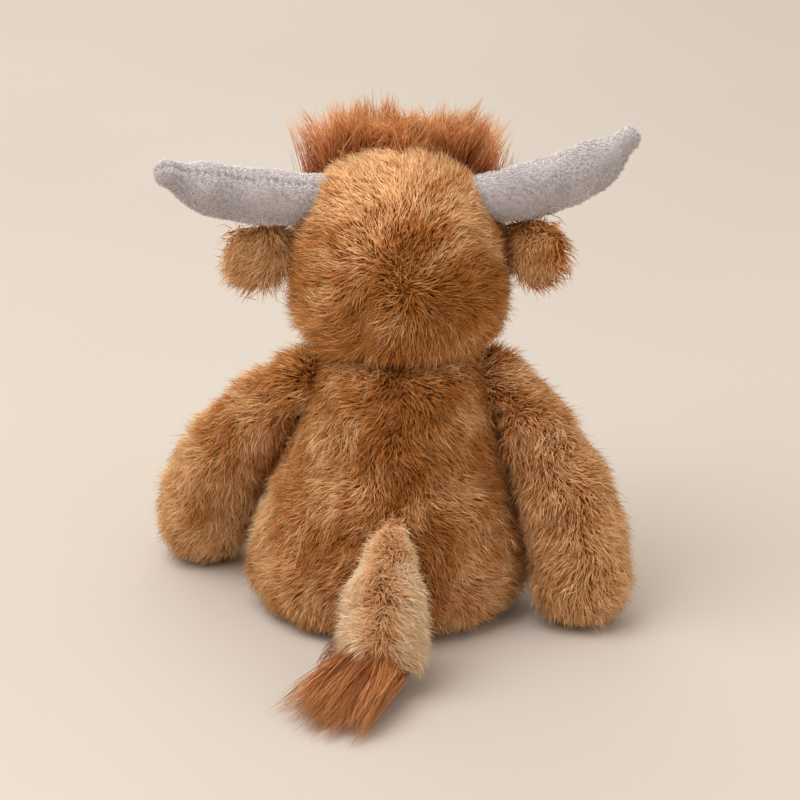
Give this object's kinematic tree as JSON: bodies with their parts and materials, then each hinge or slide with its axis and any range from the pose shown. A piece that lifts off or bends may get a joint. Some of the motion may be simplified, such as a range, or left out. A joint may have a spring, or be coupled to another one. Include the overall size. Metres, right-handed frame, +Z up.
{
  "type": "plush cow",
  "caption": "Seated long-pile plush cow with horns, tufted forelock, bean-weighted seat, tasselled tail and floppy jointed limbs.",
  "frame": {"origin": "middle of the flat seat, on the surface that the toy sits on", "axes": "+Z up, the toy faces -Y, its own left side is +X"},
  "size_m": [0.2114, 0.2907, 0.225],
  "materials": {
    "tan_plush": "long soft pile",
    "pale_plush": "long soft pile, pale tips",
    "cream_plush": "short soft pile",
    "rust_hair": "long silky hair",
    "grey_velour": "short velour pile",
    "ear_lining": "short pile",
    "sole_suede": "flat woven suede cloth",
    "white_filling": "loose polyester fibre",
    "pouch_cotton": "plain weave bag of beans",
    "black_bead": "polished",
    "washer_plastic": "moulded"
  },
  "bodies": {
    "torso": {"torso_base_panel": "tan_plush", "torso_belly_panel": "tan_plush", "torso_back_left_panel": "tan_plush", "torso_back_right_panel": "tan_plush", "torso_filling": "white_filling", "bean_pouch": "pouch_cotton"},
    "neck": {"neck_wad": "white_filling"},
    "head": {"head_face_panel": "tan_plush", "head_back_left_panel": "tan_plush", "head_back_right_panel": "tan_plush", "head_filling": "white_filling", "muzzle_cover": "cream_plush", "muzzle_filling": "white_filling", "eye_left": "black_bead", "eye_right": "black_bead", "eye_washer_left": "washer_plastic", "eye_washer_right": "washer_plastic", "forelock": "rust_hair"},
    "horn_left": {"horn_left_back_panel": "grey_velour", "horn_left_front_panel": "grey_velour", "horn_left_filling": "white_filling"},
    "horn_right": {"horn_right_back_panel": "grey_velour", "horn_right_front_panel": "grey_velour", "horn_right_filling": "white_filling"},
    "ear_left": {"ear_left_back": "tan_plush", "ear_left_lining": "ear_lining"},
    "ear_right": {"ear_right_back": "tan_plush", "ear_right_lining": "ear_lining"},
    "arm_left": {"arm_left_cover": "tan_plush", "arm_left_filling": "white_filling"},
    "arm_right": {"arm_right_cover": "tan_plush", "arm_right_filling": "white_filling"},
    "leg_left": {"leg_left_cover": "tan_plush", "leg_left_sole": "sole_suede", "leg_left_filling": "white_filling"},
    "leg_right": {"leg_right_cover": "tan_plush", "leg_right_sole": "sole_suede", "leg_right_filling": "white_filling"},
    "tail": {"tail_cover": "pale_plush", "tail_filling": "white_filling"},
    "tassel": {"tail_tassel": "rust_hair"}
  },
  "joints": [
    {"name": "head_turn", "type": "hinge", "parent": "torso", "child": "neck", "pos_m": [-0.0056, 0, 0.117], "axis": [0, 0, 1], "range_deg": [-35, 35], "stiffness_Nm_per_rad": 0.15},
    {"name": "head_nod", "type": "hinge", "parent": "neck", "child": "head", "pos_m": [-0.0056, 0, 0.117], "axis": [1, 0, 0], "range_deg": [-10, 10], "stiffness_Nm_per_rad": 0.4},
    {"name": "horn_left_flex", "type": "hinge", "parent": "head", "child": "horn_left", "pos_m": [0.03528, -0.003, 0.18402], "axis": [0, -1, 0], "range_deg": [-8, 15], "stiffness_Nm_per_rad": 0.08},
    {"name": "horn_right_flex", "type": "hinge", "parent": "head", "child": "horn_right", "pos_m": [-0.04648, -0.003, 0.18402], "axis": [0, 1, 0], "range_deg": [-8, 15], "stiffness_Nm_per_rad": 0.08},
    {"name": "ear_left_flap", "type": "hinge", "parent": "head", "child": "ear_left", "pos_m": [0.04507, -0.006, 0.166], "axis": [0.5878, 0, 0.809], "range_deg": [-40, 40], "stiffness_Nm_per_rad": 0.02},
    {"name": "ear_right_flap", "type": "hinge", "parent": "head", "child": "ear_right", "pos_m": [-0.05627, -0.006, 0.166], "axis": [0.3584, 0, -0.9336], "range_deg": [-40, 40], "stiffness_Nm_per_rad": 0.02},
    {"name": "arm_left_swing", "type": "hinge", "parent": "torso", "child": "arm_left", "pos_m": [0.03451, 0, 0.106], "axis": [-0.9135, 0, -0.4067], "range_deg": [-60, 48]},
    {"name": "arm_right_swing", "type": "hinge", "parent": "torso", "child": "arm_right", "pos_m": [-0.04571, 0, 0.106], "axis": [-0.9135, 0, 0.4067], "range_deg": [-25, 80]},
    {"name": "leg_left_lift", "type": "hinge", "parent": "torso", "child": "leg_left", "pos_m": [0.027, -0.05205, 0.017], "axis": [-1, 0, 0], "range_deg": [-20, 12]},
    {"name": "leg_right_lift", "type": "hinge", "parent": "torso", "child": "leg_right", "pos_m": [-0.027, -0.05205, 0.017], "axis": [-1, 0, 0], "range_deg": [-20, 12]},
    {"name": "tail_lift", "type": "hinge", "parent": "torso", "child": "tail", "pos_m": [-0.00302, 0.04887, 0.054], "axis": [1, 0, 0], "range_deg": [-4, 40]},
    {"name": "tassel_sweep", "type": "hinge", "parent": "tail", "child": "tassel", "pos_m": [0.00331, 0.09579, 0.0093], "axis": [0, 0, 1], "range_deg": [-2, 30]}
  ]
}
